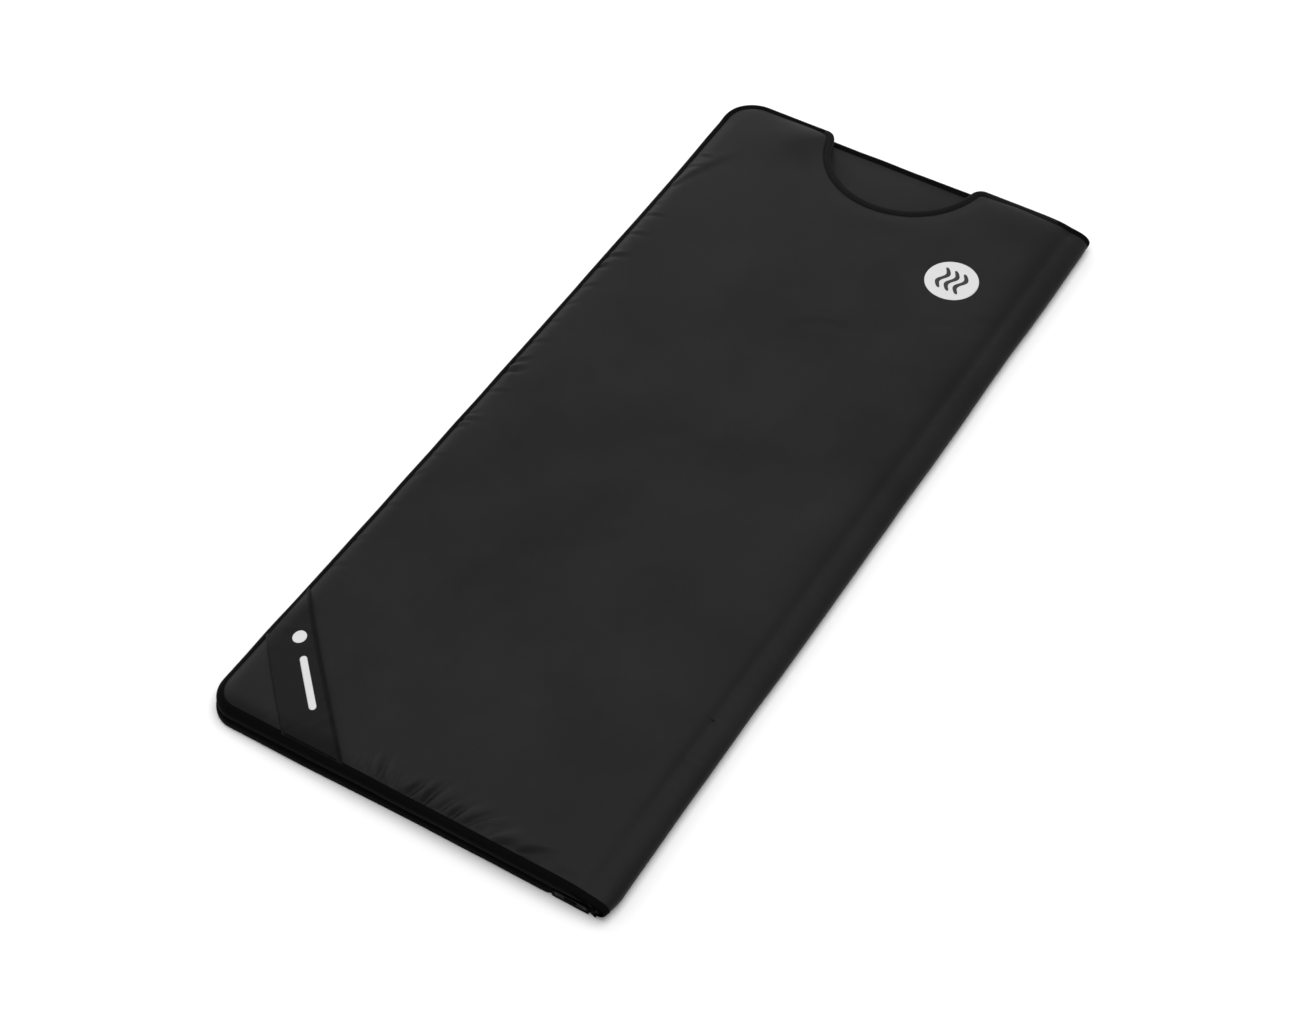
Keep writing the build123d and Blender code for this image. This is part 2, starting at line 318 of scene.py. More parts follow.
def fibrous(name, dark, light, fibre, depth):
    """Felt, wadding or pile: tangled fibres with loose ends catching the light."""
    look = Look(name)
    tangle = look.noise(1 / fibre, 6.0)
    slow = look.noise(14.0)
    colour = look.colour(look.combine("MULTIPLY", tangle, look.combine("ADD", slow, 0.5)), dark, light)
    return look.dress(colour, look.rough(slow, 0.08, 0.87), look.bump(tangle, depth, 0.8),
                      {"Sheen Weight": 0.2})


def moulded(name, dark, light, rough, metal=0.0, grain=0.02 * MM, scale=2200.0, gloss=0.5):
    """Moulded plastic or bare metal: fine grain, wear and uneven gloss."""
    look = Look(name)
    worn = look.noise(40.0, 5.0)
    fine = look.bump(look.noise(scale, 2.0), grain, 0.5)
    return look.dress(look.colour(worn, dark, light), look.rough(worn, 0.2, rough - 0.1), fine,
                      {"Metallic": metal, "Specular IOR Level": gloss})


def dotted(name, dark, light, pitch, depth, rough):
    """Hook tape: rows of small stiff hooks."""
    look = Look(name)
    rows = look.combine("MULTIPLY", look.ribs("X", pitch), look.ribs("Y", pitch))
    uneven = look.noise(300.0)
    colour = look.colour(look.combine("MULTIPLY", rows, uneven), dark, light)
    return look.dress(colour, look.rough(uneven, 0.2, rough - 0.1), look.bump(rows, depth, 0.9), {})


def grey(level):
    return level, level, level * 1.04


def make_materials():
    made = {}

    def add(maker, name, *numbers, **others):
        made[name] = maker(name, *numbers, **others)

    add(woven, "shell_cloth", grey(0.0040), grey(0.0135), 0.8 * MM, 0.50, 0.11, 0.010, 0.12 * MM)
    add(woven, "lining_cloth", grey(0.0040), grey(0.0135), 0.7 * MM, 0.46, 0.11, 0.010, 0.10 * MM)
    add(woven, "binding_tape", grey(0.0016), grey(0.005), 1.3 * MM, 0.72, 0.08, 0.008, 0.3 * MM)
    add(woven, "band_cloth", grey(0.002), grey(0.0075), 0.6 * MM, 0.58, 0.10, 0.008, 0.15 * MM, cloud=2.0)
    # painted shade: the binding tape darkened below its own colour, for tape that lies in shade under the
    # edges and inside the fold's roll
    add(woven, "base_tape", grey(0.0006), grey(0.002), 1.3 * MM, 0.8, 0.04, 0.004, 0.3 * MM)
    add(woven, "thread", grey(0.0015), grey(0.004), 0.5 * MM, 0.7, 0.08, 0.01, 0.1 * MM)
    add(fibrous, "white_wadding", (0.62, 0.62, 0.60), (0.82, 0.82, 0.80), 1.2 * MM, 0.6 * MM)
    add(fibrous, "carrier_felt", (0.42, 0.42, 0.42), (0.62, 0.62, 0.62), 0.8 * MM, 0.3 * MM)
    add(fibrous, "soft_felt", (0.30, 0.30, 0.31), (0.46, 0.46, 0.47), 1.0 * MM, 0.4 * MM)
    add(fibrous, "loop_tape", (0.004, 0.004, 0.0045), (0.014, 0.014, 0.015), 0.5 * MM, 0.5 * MM)
    add(dotted, "hook_tape", (0.003, 0.003, 0.0035), (0.02, 0.02, 0.021), 1.4 * MM, 0.8 * MM, 0.5)
    add(moulded, "foil", (0.62, 0.62, 0.64), (0.80, 0.80, 0.82), 0.32, 1.0, 0.3 * MM, 160.0)
    add(moulded, "wire_sleeve", (0.50, 0.16, 0.10), (0.60, 0.22, 0.15), 0.55)
    add(moulded, "lead_insulation", (0.02, 0.02, 0.022), (0.04, 0.04, 0.042), 0.5)
    add(moulded, "junction_plastic", (0.016, 0.016, 0.017), (0.034, 0.034, 0.036), 0.45)
    add(moulded, "sensor_plastic", (0.55, 0.52, 0.44), (0.66, 0.63, 0.55), 0.4)
    add(moulded, "cutout_case", (0.42, 0.42, 0.43), (0.56, 0.56, 0.57), 0.35, 1.0)
    add(moulded, "inlet_plastic", (0.002, 0.002, 0.0022), (0.005, 0.005, 0.0053), 0.6, gloss=0.12)
    add(moulded, "contact_brass", (0.55, 0.38, 0.14), (0.70, 0.52, 0.22), 0.28, 1.0)
    add(moulded, "plate_steel", (0.006, 0.006, 0.0062), (0.013, 0.013, 0.0133), 0.5, 0.5, gloss=0.2)
    add(moulded, "rivet_steel", (0.006, 0.006, 0.0062), (0.013, 0.013, 0.0133), 0.45, 0.5, gloss=0.2)
    add(moulded, "print_dark", (0.006, 0.006, 0.0065), (0.012, 0.012, 0.0125), 0.6, 0.0, 0.08 * MM, 700.0)
    add(moulded, "print_grey", (0.56, 0.56, 0.56), (0.62, 0.62, 0.62), 0.55, 0.0, 0.08 * MM, 700.0)
    return made


# --- Shape of the halves ---------------------------------------------------------------------

# Matching points of the outer cloth and of the lining over the shoulder and round the fold, in mm
OUTER_SHOULDER = np.array([
    (280, 48.6), (306, 48.2), (328, 46.4), (344, 43.4), (356, 40.0), (368, 37.9), (382, 34.4),
    (393, 28.8), (399, 22), (399.5, 15), (396, 8), (388, 2.6), (376, 0.4)])
INNER_SHOULDER = np.array([
    (280, 27), (306, 27), (328, 27), (343, 27), (352, 27), (361, 27), (371, 27),
    (376.5, 26.4), (378.9, 24.8), (379, 23.4), (378.5, 22.2), (377.3, 21.3), (376, 21)])
outer_knots, inner_knots = OUTER_SHOULDER * MM, INNER_SHOULDER * MM
SHOULDER = outer_knots[0, 0]
KNOT_U = SHOULDER + lengths_along(outer_knots)
COVER_END = KNOT_U[-1]
SEAM_OUTER = KNOT_U[2]    # where the cover's pad ends and the fold's begins, on the outer cloth
SEAM_INNER = KNOT_U[6]    # the same seam on the lining
TURN = KNOT_U[3]          # where the cloth starts to roll over the fold
CREASE = KNOT_U[4]        # the crease beside the roll
FOLD_LINING = 0.3         # share of the thickness that the fold's lining pad takes


def flare_centre(side):
    """Centre of the small arc that leads from the head's edge into the scoop, on either side."""
    cy = HEAD - FLARE_RADIUS
    reach = NECK_RADIUS + FLARE_RADIUS
    return NECK_X + side * math.sqrt(reach**2 - (NECK_Y - cy) ** 2), cy


def edge_distance(u, v, neck):
    """Distance from a point of the flat cloth to the nearest bound edge, negative outside."""
    distance = np.minimum(np.minimum(u - LEFT, v - FOOT), HEAD - v)
    corners = (FOOT_RADIUS, -1, FOOT + FOOT_RADIUS), (HEAD_RADIUS, 1, HEAD - HEAD_RADIUS)
    for radius, side, end in corners:
        du, dv = LEFT + radius - u, (v - end) * side
        distance = np.where((du > 0) & (dv > 0), radius - np.hypot(du, dv), distance)
    if neck:
        distance = np.minimum(distance, np.hypot(u - NECK_X, v - NECK_Y) - NECK_RADIUS)
        for side in (-1, 1):
            cx, cy = flare_centre(side)
            across = (u - cx) / (NECK_X - cx)
            above = (v - cy) - across * (NECK_Y - cy)
            flare = FLARE_RADIUS - np.hypot(u - cx, v - cy)
            distance = np.where((across > 0) & (above > 0), flare, distance)
    return distance


def cover_faces(u):
    """The outer cloth's and the lining's places across the cover and round the fold."""
    t = np.clip(u, SHOULDER, COVER_END)
    flat = (u <= SHOULDER)[..., None]
    level = np.full_like(u, outer_knots[0, 1])
    outer = np.where(flat, np.stack([u, level], -1), curve_at(KNOT_U, outer_knots, t))
    level = np.full_like(u, COVER_BOTTOM)
    inner = np.where(flat, np.stack([u, level], -1), curve_at(KNOT_U, inner_knots, t))
    return outer, inner


def base_faces(u):
    """The same for the base, which lies flat with its outer cloth below."""
    outer = np.stack([u, np.full_like(u, 0.4 * MM)], -1)
    return outer, np.stack([u, np.full_like(u, BASE_TOP)], -1)


def held_close(u, v):
    """Where the closure pulls the two edges together: the open side and the foot beside it."""
    return smoothstep((-0.02 - u) / 0.3) * smoothstep((HEAD - 0.1 - v) / 0.2)


def by_neck(u, v):
    """Nearness to the neckline and the head, where the edge is left full and flat."""
    scoop = 1 - (np.hypot(u - NECK_X, v - NECK_Y) - NECK_RADIUS) / (70 * MM)
    return np.maximum(smoothstep(scoop), 0.75 * smoothstep((v - HEAD + 90 * MM) / (60 * MM)))


def by_inlet(u, v):
    """Nearness to the controller inlet in the base's foot edge."""
    across = np.abs(u - (inlet_lo.x + inlet_hi.x) / 2) - (inlet_hi.x - inlet_lo.x) / 2
    return smoothstep(1 - across / (14 * MM)) * smoothstep(1 - (v - FOOT - 30 * MM) / (30 * MM))


def bow(u, v):
    """The gathers draw the open side in a little, most of all below mid length."""
    near = nearness(u - LEFT, 140 * MM)
    return MM * near * np.interp(v, (FOOT, -0.5, 0, 0.5, 0.8, HEAD), (4.5, 7.5, 7.0, 4.5, 1.5, 0))


def reach_out(v):
    """Puffed cloth at the head stands out a little past the pattern."""
    return 6 * MM * smoothstep((v - 0.6) / 0.3)


def cover_shift(u, v, d):
    """The cover's edge sags towards the base's."""
    near = nearness(d, 34 * MM)
    ripple = 1.1 * MM * noise(u, v, 0.08, SEED + 1)
    on_fold = smoothstep((u - TURN + 40 * MM) / (60 * MM))
    sag = near * (ripple - (2.5 + 5.5 * held_close(u, v)) * MM) * (1 - on_fold) * (1 - by_neck(u, v))
    return np.stack([bow(u, v), reach_out(v), sag], -1)


def base_shift(u, v, d):
    """The base's edge lies on the floor, and is set back behind the inlet's flange."""
    near = nearness(d, 26 * MM)
    ripple = (0.7 + 1.8 * smoothstep((u - 0.05) / 0.2)) * MM * (0.5 + noise(u, v, 0.06, SEED + 2))
    inlet = by_inlet(u, v)
    rise = near * (ripple + 5.0 * MM * by_neck(u, v)) * (1 - inlet)
    along = reach_out(v) + near * (4.5 * inlet - 4 * smoothstep((0.05 - u) / 0.3) * (v < 0)) * MM
    return np.stack([bow(u, v), along, rise], -1)


class Half:
    """One half's shape: maps places on its flat cloth to the blanket."""

    def __init__(self, faces, end, neck, shift, outer_pinch, inner_pinch, full, relief=None):
        self.faces, self.end, self.neck, self.shift = faces, end, neck, shift
        self.outer_pinch, self.inner_pinch = outer_pinch, inner_pinch
        self.full, self.relief, self.settled, self.columns = full, relief, None, None

    def distance(self, u, v):
        return edge_distance(u, v, self.neck)

    def outer_share(self, u, v, d):
        least, reach = self.outer_pinch
        return 1 - (1 - least) * self.full(u, v) * nearness(d, reach)

    def inner_share(self, u, v, d):
        most, reach = self.inner_pinch
        return most * self.full(u, v) * nearness(d, reach)

    def place(self, u, v, share, proud=0.0):
        """The point at a share of the way from lining to outer cloth, and proud of it."""
        outer, inner = self.faces(u)
        across = outer - inner
        share, proud = np.broadcast_to(share, u.shape), np.broadcast_to(proud, u.shape)
        at = inner + across * share[..., None] + unit(across) * proud[..., None]
        return np.stack([at[..., 0], v, at[..., 1]], -1) + self.shift(u, v, self.distance(u, v))

    def outer(self, u, v, proud=0.0):
        d = self.distance(u, v)
        relief = self.relief(u, v, d) if self.relief else 0.0
        at = self.place(u, v, self.outer_share(u, v, d), relief + proud)
        return at + self.settled(u, v) if self.settled else at

    def inner(self, u, v, proud=0.0):
        return self.place(u, v, self.inner_share(u, v, self.distance(u, v)), -proud)


def gather(u, v, start, lean, bend, length, width, height, hollow=1.0):
    """One gather of the cloth: a curving ridge, with a hollow beside it, that runs in from the edge."""
    along = (math.sin(lean), math.cos(lean))
    du, dv = u - start[0], v - start[1]
    s = du * along[0] + dv * along[1]
    t = du * along[1] - dv * along[0]
    t = t - bend * s * s / (2 * length)
    spread = width * (0.55 + 0.75 * np.clip(s / length, 0, 1))
    fade = smoothstep((s + 6 * MM) / (14 * MM))
    fade = fade * (1 - smoothstep((s - 0.25 * length) / (0.75 * length)))
    beside = hollow * bell((t - 1.5 * spread) / (1.15 * spread))
    return height * fade * (0.7 * bell(t / spread) - beside)


def cover_relief(u, v, d):
    """Heights of the soft swells, the gathers sewn in at the edges, and creases."""
    rng = np.random.default_rng(SEED + 10)
    swell = 1.3 * noise(u, v, 0.24, SEED + 3) + 0.7 * noise(u, v, 0.11, SEED + 4)
    swell = swell + 0.22 * noise(u, v, 0.045, SEED + 5)
    height = swell * MM * smoothstep(d / (50 * MM))
    # a fan of gathers in the middle of the foot, curving towards the fold, and a big one in it
    fan_start, fan_end = -100.0, 262.0
    place = fan_start
    while place < fan_end:
        part = (place - fan_start) / (fan_end - fan_start)
        lean = -0.4 + 1.3 * part + rng.uniform(-0.22, 0.22)
        size = (0.45 + 0.75 * math.sin(math.pi * min(1, part + 0.1))) * rng.uniform(0.55, 1.35)
        length = (62 + 78 * part) * rng.uniform(0.7, 1.25) * MM
        bend = rng.uniform(0.2, 0.6) + 0.5 * part
        width = rng.uniform(5.5, 8.5) * MM * (1 + 0.3 * part)
        start = (place * MM, FOOT + 4 * MM)
        height += gather(u, v, start, lean, bend, length, width, 4.3 * MM * size, 1.35)
        place += rng.uniform(15, 34)
    start = (0.16, FOOT + 4 * MM)
    height += gather(u, v, start, 0.95, 0.8, 0.17, 13 * MM, 4.5 * MM, 1.3)
    # small gathers by the corner band and up the open side, leaning towards the head
    for x in (-292, -268, -246, -150):
        start = (x * MM, FOOT + 4 * MM)
        height += gather(u, v, start, 0.3, 0.3, 45 * MM, 5 * MM, 1.2 * MM)
    for y in (-560, -480, -395, -318, -255, -168, -150, -128, -60, -12, 6, 27, 90, 150, 205, 262, 318,
              338, 360, 430, 492, 540, 595, 655, 700):
        start = (LEFT + 4 * MM, (y + rng.uniform(-8, 8)) * MM)
        strong = 1.0 if y in (-168, -150, -12, 6, 27, 318, 338, 360) else 0.5
        lean = math.pi / 2 - rng.uniform(0.15, 0.75)
        bend = rng.uniform(-0.4, 0.3)
        length = rng.uniform(30, 70) * MM
        width = rng.uniform(4.2, 6.5) * MM
        height += gather(u, v, start, lean, bend, length, width, 3.4 * MM * strong, 0.8)
    # a ridge across the head's open corner, and puffed shoulders beside the neckline
    start = (LEFT + 14 * MM, 0.60)
    height += gather(u, v, start, 0.3, 0.3, 0.2, 12 * MM, 2.6 * MM, 0.25)
    puffs = (-232, 852, 42, 3.4), (245, 852, 55, 3.2), (320, 846, 40, 1.6), (-310, 800, 60, 1.6)
    for x, y, reach, tall in puffs:
        height += tall * MM * bell(np.hypot(u - x * MM, v - y * MM) / (reach * MM))
    # faint creases by the head's fold corner and in the middle
    creases = (232, 520, 1.1, 0.15), (286, 560, 0.9, 0.12), (60, 420, 1.2, 0.1), (20, 390, 0.8, 0.07)
    for x, y, lean, length in creases:
        start = (x * MM, y * MM)
        height += gather(u, v, start, lean, 0.3, length, 14 * MM, 0.45 * MM)
    # puckers along the folded edge, none near the leads that cross it
    for y in np.arange(-0.86, 0.88, 0.034):
        y = y + rng.uniform(-0.012, 0.012)
        start = (TURN + rng.uniform(4, 22) * MM, y)
        weight = rng.uniform(0.2, 1.0) * (1.6 if y < -0.3 else 0.6)
        weight *= 0.0 if -0.86 < y < -0.75 else 1.0
        lean = math.pi / 2 - rng.uniform(-0.5, 0.9)
        length = rng.uniform(28, 52) * MM
        width = rng.uniform(3.5, 6) * MM
        height += gather(u, v, start, lean, 0.3, length, width, 1.2 * MM * weight)
    # the cloth dips along the shoulder before the fold's roll, away from the leads
    dip = bell((u - CREASE) / (12 * MM)) * (0.3 + 0.7 * smoothstep((v + 0.74) / 0.08))
    height = height - dip * (2.3 + 0.7 * noise(u, v, 0.15, SEED + 12)) * MM
    return height * smoothstep((d - 8 * MM) / (11 * MM))


cover = Half(cover_faces, COVER_END, True, cover_shift, (0.60, 46 * MM), (0.05, 20 * MM),
             lambda u, v: 1 - 0.72 * by_neck(u, v), cover_relief)
base = Half(base_faces, FOLD_X, False, base_shift, (0.98, 20 * MM), (0.34, 22 * MM),
            lambda u, v: (1 - by_inlet(u, v)) * (1 - 0.4 * by_neck(u, v)))


def plan_grid(half, step):
    """A square grid over the flat cloth, cut to the outline, its rim moved onto the outline."""
    marks = [LEFT, SEAM_OUTER, half.end] if half.neck else [LEFT, half.end]
    runs = [np.linspace(a, b, max(2, round((b - a) / step)) + 1) for a, b in zip(marks, marks[1:])]
    across = np.concatenate([runs[0]] + [run[1:] for run in runs[1:]])
    half.columns = across
    along = rows_along(step)
    u, v = np.meshgrid(across, along, indexing="ij")
    keep = half.distance(u, v) >= 0.35 * step
    keep[:, [0, -1]] |= half.distance(u[:, [0, -1]], v[:, [0, -1]] * (1 - 1e-9)) > -step * 0.1
    quad = keep[:-1, :-1] & keep[1:, :-1] & keep[1:, 1:] & keep[:-1, 1:]
    index = np.arange(u.size).reshape(u.shape)
    faces = np.stack([index[:-1, :-1], index[1:, :-1], index[1:, 1:], index[:-1, 1:]], -1)[quad]
    used, faces = np.unique(faces, return_inverse=True)
    faces = faces.reshape(-1, 4)
    u, v = u.ravel()[used], v.ravel()[used]
    rim = np.unique(open_edges(faces))
    move = np.zeros(len(u), bool)
    move[rim] = half.distance(u[rim], v[rim]) < 1.7 * step
    h = 0.2 * MM
    for _ in range(3):
        d = half.distance(u[move], v[move])
        gu = (half.distance(u[move] + h, v[move]) - half.distance(u[move] - h, v[move])) / (2 * h)
        gv = (half.distance(u[move], v[move] + h) - half.distance(u[move], v[move] - h)) / (2 * h)
        size = np.maximum(gu**2 + gv**2, 0.2)
        u[move] = u[move] - d * gu / size
        v[move] = v[move] - d * gv / size
    return np.clip(u, LEFT, half.end), v, faces


def open_edges(faces):
    """The edges that belong to one face only, in that face's direction."""
    edges = np.concatenate([faces[:, [i, (i + 1) % 4]] for i in range(4)])
    alike = np.sort(edges, axis=1)
    _, where, count = np.unique(alike, axis=0, return_index=True, return_counts=True)
    return edges[where[count == 1]]


def strip_quads(n, m):
    """The quads of a grid of n by m points, numbered row after row."""
    index = np.arange(n * m).reshape(n, m)
    quads = np.stack([index[:-1, :-1], index[1:, :-1], index[1:, 1:], index[:-1, 1:]], -1)
    return quads.reshape(-1, 4)


def shell_faces(faces, count):
    """A closed shell's faces: the upper side on the first count points, the under side on the
    next, then the walls round the rim."""
    rim = open_edges(faces)
    walls = np.stack([rim[:, 1], rim[:, 0], rim[:, 0] + count, rim[:, 1] + count], -1)
    return np.concatenate([faces, faces[:, ::-1] + count, walls])


def vertex_normals(at, faces):
    """The cloth's directions at its points, from all the quads round each."""
    across = np.cross(at[faces[:, 2]] - at[faces[:, 0]], at[faces[:, 3]] - at[faces[:, 1]])
    normals = np.zeros_like(at)
    for corner in range(4):
        np.add.at(normals, faces[:, corner], across)
    return normals / np.maximum(np.linalg.norm(normals, axis=1), 1e-12)[:, None]


def closed_pad(name, outer, inner, normals, faces, upward, materials):
    """A closed pad: outer cloth, lining, and the strip between them round the rim."""
    used, faces = np.unique(faces, return_inverse=True)
    faces = faces.reshape(-1, 4)
    outer, inner, normals, count = outer[used], inner[used], normals[used], len(used)
    every = shell_faces(faces, count)
    if not upward:
        every = every[:, ::-1]
    slots = np.zeros(len(every), int)
    slots[len(faces):2 * len(faces)] = 1
    pad = new_object(name, np.concatenate([outer, inner]), every, materials, True, slots)
    corner = np.empty(len(pad.data.loops) * 3, np.float32)
    pad.data.corner_normals.foreach_get("vector", corner)
    corner = corner.reshape(-1, 3)
    whose = np.empty(len(pad.data.loops), int)
    pad.data.loops.foreach_get("vertex_index", whose)
    skin = len(faces) * 4
    corner[:skin] = normals[whose[:skin]]
    pad.data.normals_split_custom_set(corner.tolist())
    return pad


# --- The cloth's simulation ------------------------------------------------------------------

def settle(half):
    """Lets the outer cloth buckle under its own slack: it is cut a little larger than its place
    near the edges, where the binding gathers it, and held softly over the wadding elsewhere."""
    u, v, faces = plan_grid(half, GRID)
    start = half.outer(u, v)
    d = half.distance(u, v)
    sheet = new_object("settling", start, faces)
    hold = np.clip(1 - (d - 9 * MM) / (10 * MM), 0.0, 1)
    hold = np.maximum(hold, 0.36 + 0.3 * smoothstep((d - 60 * MM) / (120 * MM)))
    hold = np.where(u > COVER_END - 12 * MM, 1.0, hold)
    foot_fan = bell((u - 0.06) / 0.17) * bell((v - FOOT) / (90 * MM))
    side = bell((u - LEFT) / (55 * MM)) * (0.55 + 0.45 * noise(u, v, 0.09, SEED + 6))
    edge = bell(d / (60 * MM))
    slack = np.clip(0.35 * edge + 0.9 * foot_fan + 0.45 * side, 0, 1)
    for label, weights in (("hold", hold), ("slack", 1 - slack)):
        group = sheet.vertex_groups.new(name=label)
        levels = np.round(weights * 40).astype(int)
        for level in np.unique(levels):
            group.add(np.flatnonzero(levels == level).tolist(), level / 40, "REPLACE")
    cloth = sheet.modifiers.new("cloth", "CLOTH")
    settings = cloth.settings
    settings.quality = 5
    settings.mass = 0.1
    settings.tension_stiffness = settings.compression_stiffness = 12
    settings.shear_stiffness = 4
    settings.bending_stiffness = 0.12
    settings.air_damping = 2
    settings.tension_damping = settings.compression_damping = 8
    settings.vertex_group_mass = "hold"
    settings.pin_stiffness = 0.6
    settings.vertex_group_shrink = "slack"
    settings.shrink_min = -0.055
    settings.shrink_max = 0.0
    settings.effector_weights.gravity = 0
    cloth.collision_settings.use_collision = False
    cloth.point_cache.frame_start, cloth.point_cache.frame_end = 1, SIM_FRAMES
    scene = bpy.context.scene
    for step in range(1, SIM_FRAMES + 1):
        scene.frame_set(step)
    result = sheet.evaluated_get(bpy.context.evaluated_depsgraph_get()).data
    end = np.empty(len(start) * 3)
    result.vertices.foreach_get("co", end)
    moved = end.reshape(-1, 3) - start
    bpy.data.objects.remove(sheet)
    scene.frame_set(1)
    size = np.linalg.norm(moved, axis=1)
    moved *= (np.tanh(size / SIM_REACH) * SIM_REACH / np.maximum(size, 1e-9))[:, None]
    return lookup(half, moved, u, v)


def lookup(half, moved, u, v):
    """A function that gives the settled cloth's movement at any place on it."""
    columns = half.columns
    rows = rows_along(GRID)
    field = np.zeros((len(columns), len(rows), 3))

    def number(x, marks):
        return np.interp(x, marks, np.arange(len(marks)))

    i = np.round(number(u, columns)).astype(int)
    j = np.round(number(v, rows)).astype(int)
    field[i, j] = moved

    def at(uu, vv):
        gi, gj = number(uu, columns), number(vv, rows)
        i = np.minimum(gi.astype(int), len(columns) - 2)
        j = np.minimum(gj.astype(int), len(rows) - 2)
        a, b = (gi - i)[..., None], (gj - j)[..., None]
        low = field[i, j] * (1 - a) + field[i + 1, j] * a
        high = field[i, j + 1] * (1 - a) + field[i + 1, j + 1] * a
        return low * (1 - b) + high * b
    return at


# --- Pads ------------------------------------------------------------------------------------

def blend_over_fold(piece):
    """Bakes a fold piece's transform into its points."""
    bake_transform(piece)


def lining_place(u):
    """The lining's own seam lies nearer the fold's axis than the outer cloth's does."""
    marks = [LEFT, SHOULDER, SEAM_OUTER, COVER_END]
    return np.interp(u, marks, [LEFT, SHOULDER, SEAM_INNER, COVER_END])


def make_pads(materials):
    skins = [materials["shell_cloth"], materials["lining_cloth"]]
    u, v, faces = plan_grid(cover, GRID)
    outer = cover.outer(u, v)
    normals = vertex_normals(outer, faces)
    ease = 0.5 * MM * (1 + noise(u, v, 0.09, SEED + 7)) * smoothstep(cover.distance(u, v) / (60 * MM))
    inner = cover.inner(lining_place(u), v, -ease * (u < SHOULDER))
    on_fold = u[faces].min(1) > SEAM_OUTER - 0.01 * MM
    pad = closed_pad("cover_pad", outer, inner, normals, faces[~on_fold], True, skins)
    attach(pad, "cover")
    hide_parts("cover_outer_cloth", "cover_wadding", "cover_felt", "cover_lining")
    # the fold has two layers: wadding under the outer cloth, and the felt and lining inside it
    middle = cover.place(lining_place(u), v, FOLD_LINING)
    fold = closed_pad("fold_pad", outer, middle, normals, faces[on_fold], True, skins)
    blend_over_fold(fold)
    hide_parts("fold_outer_cloth", "fold_wadding", "fold_leads")
    round_fold = np.linspace(SEAM_INNER, COVER_END, 15)
    along = rows_along(BASE_GRID)
    u, v = (axis.ravel() for axis in np.meshgrid(round_fold, along, indexing="ij"))
    faces = strip_quads(len(round_fold), len(along))
    outer = cover.place(u, v, FOLD_LINING)
    normals = vertex_normals(outer, faces)
    # the fold lining pad's outer skin is binding tape darkened with painted shade, so the inside of the
    # fold's roll reads dark
    fold_skins = [materials["base_tape"], materials["lining_cloth"]]
    bend = closed_pad("fold_lining_pad", outer, cover.inner(u, v), normals, faces, True, fold_skins)
    blend_over_fold(bend)
    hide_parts("fold_lining")
    u, v, faces = plan_grid(base, BASE_GRID)
    ease = 0.5 * MM * (1 + noise(u, v, 0.09, SEED + 8)) * smoothstep(base.distance(u, v) / (60 * MM))
    outer = base.outer(u, v)
    normals = -vertex_normals(outer, faces)
    under = closed_pad("base_pad", outer, base.inner(u, v, ease), normals, faces, False, skins)
    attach(under, "base")
    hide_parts("base_outer_cloth", "base_wadding", "base_felt", "base_lining")


# --- Binding tape ----------------------------------------------------------------------------

def outline_runs(half, step):
    """The bound edges as named runs of points and outward directions."""
    runs = {"fold_foot": [], "beside_inlet": [], "edge": [], "neck": [], "fold_head": []}

    def line(run, a, b, normal):
        count = max(2, int(math.dist(a, b) / step))
        t = (np.arange(count + 1) / count)[:, None]
        runs[run].append((np.array(a) * (1 - t) + np.array(b) * t, np.tile(normal, (count + 1, 1))))

    def arc(run, centre, radius, start, end, outward):
        count = max(3, int(abs(end - start) * radius / step))
        angle = np.linspace(start, end, count + 1)
        ray = np.stack([np.cos(angle), np.sin(angle)], -1)
        runs[run].append((np.array(centre) + radius * ray, outward * ray))

    seam = SEAM_OUTER if half.neck else half.end
    low, high = LEFT + FOOT_RADIUS, LEFT + HEAD_RADIUS
    if half.neck:
        line("fold_foot", (half.end, FOOT), (seam, FOOT), (0, -1))
        line("fold_head", (seam, HEAD), (half.end, HEAD), (0, 1))
        line("edge", (seam, FOOT), (low, FOOT), (0, -1))
    else:
        line("beside_inlet", (seam, FOOT), (inlet_hi.x + 1 * MM, FOOT), (0, -1))
        line("edge", (inlet_lo.x - 1 * MM, FOOT), (low, FOOT), (0, -1))
    arc("edge", (low, FOOT + FOOT_RADIUS), FOOT_RADIUS, -math.pi / 2, -math.pi, 1)
    line("edge", (LEFT, FOOT + FOOT_RADIUS), (LEFT, HEAD - HEAD_RADIUS), (-1, 0))
    arc("edge", (high, HEAD - HEAD_RADIUS), HEAD_RADIUS, math.pi, math.pi / 2, 1)
    left, right = flare_centre(-1), flare_centre(1)
    if half.neck:
        turn = math.atan2(NECK_Y - left[1], NECK_X - left[0])
        line("edge", (high, HEAD), (left[0], HEAD), (0, 1))
        arc("neck", left, FLARE_RADIUS, math.pi / 2, turn, 1)
        arc("neck", (NECK_X, NECK_Y), NECK_RADIUS, turn + math.pi, 2 * math.pi - turn, -1)
        arc("neck", right, FLARE_RADIUS, math.pi - turn, math.pi / 2, 1)
        line("neck", (right[0], HEAD), (seam, HEAD), (0, 1))
    else:
        line("edge", (high, HEAD), (seam, HEAD), (0, 1))
    joined = {}
    for run, parts in runs.items():
        if not parts:
            continue
        points, normals = (np.concatenate([part[i] for part in parts]) for i in (0, 1))
        apart = np.r_[True, np.linalg.norm(np.diff(points, axis=0), axis=1) > 1e-6]
        joined[run] = points[apart], normals[apart]
    return joined


